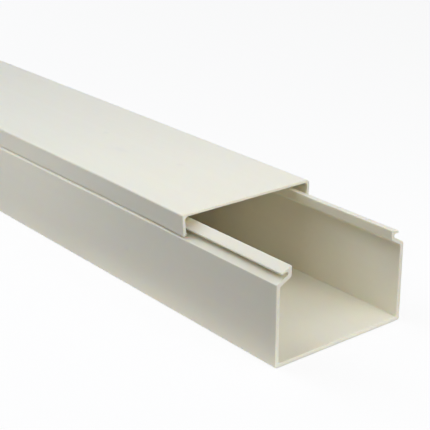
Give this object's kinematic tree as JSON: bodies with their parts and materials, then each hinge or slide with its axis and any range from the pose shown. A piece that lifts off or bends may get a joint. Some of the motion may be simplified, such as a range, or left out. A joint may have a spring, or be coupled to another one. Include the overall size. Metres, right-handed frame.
{
  "type": "cable trunking",
  "caption": "Length of cream PVC cable trunking: a square channel with a clip lip along each wall and a clip-on lid that slides along it, shown slid back from one end.",
  "frame": {"origin": "middle of the base's mounting face, halfway along the base and between its walls", "axes": "+X along the length towards the end that the lid is slid back from, +Y across, +Z from the mounting face towards the lid"},
  "size_m": [1.05, 0.0602, 0.04],
  "materials": {
    "base_pvc": "satin",
    "lid_pvc": "satin"
  },
  "bodies": {
    "base": {"trunking_base": "base_pvc"},
    "lid": {"lid": "lid_pvc"}
  },
  "joints": [
    {"name": "lid_slide", "type": "slide", "parent": "base", "child": "lid", "axis": [1, 0, 0], "range_m": [-0.85, 0.05]}
  ]
}
